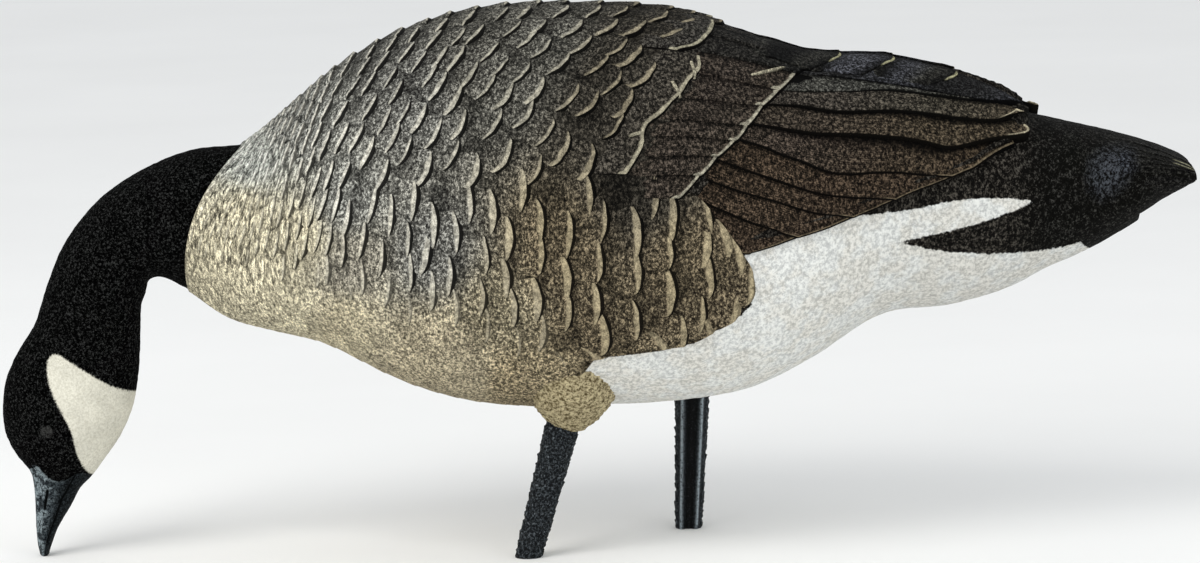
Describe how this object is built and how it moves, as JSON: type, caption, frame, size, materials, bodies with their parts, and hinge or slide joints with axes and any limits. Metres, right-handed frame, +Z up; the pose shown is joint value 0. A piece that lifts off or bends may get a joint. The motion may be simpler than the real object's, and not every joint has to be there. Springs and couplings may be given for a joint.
{
  "type": "goose decoy",
  "caption": "Full-body goose decoy in a feeding pose, with folded wings, a lowered head and plug-in legs, that stands on its feet and bill tip.",
  "frame": {"origin": "on the ground, under the centre of the bounding box", "axes": "+Z up, -X the way the bird faces, -Y its left side"},
  "size_m": [0.7493, 0.2348, 0.3423],
  "materials": {
    "feather_paint": "matt paint in brown, grey, cream, black and white over moulded feathers",
    "flocked_black": "flocked, black with a cream cheek patch, the bill painted slate",
    "leg_plastic": "moulded scales, satin blue-black"
  },
  "bodies": {
    "root": {"body": "feather_paint", "head": "flocked_black", "left_leg": "leg_plastic", "right_leg": "leg_plastic"}
  },
  "joints": []
}
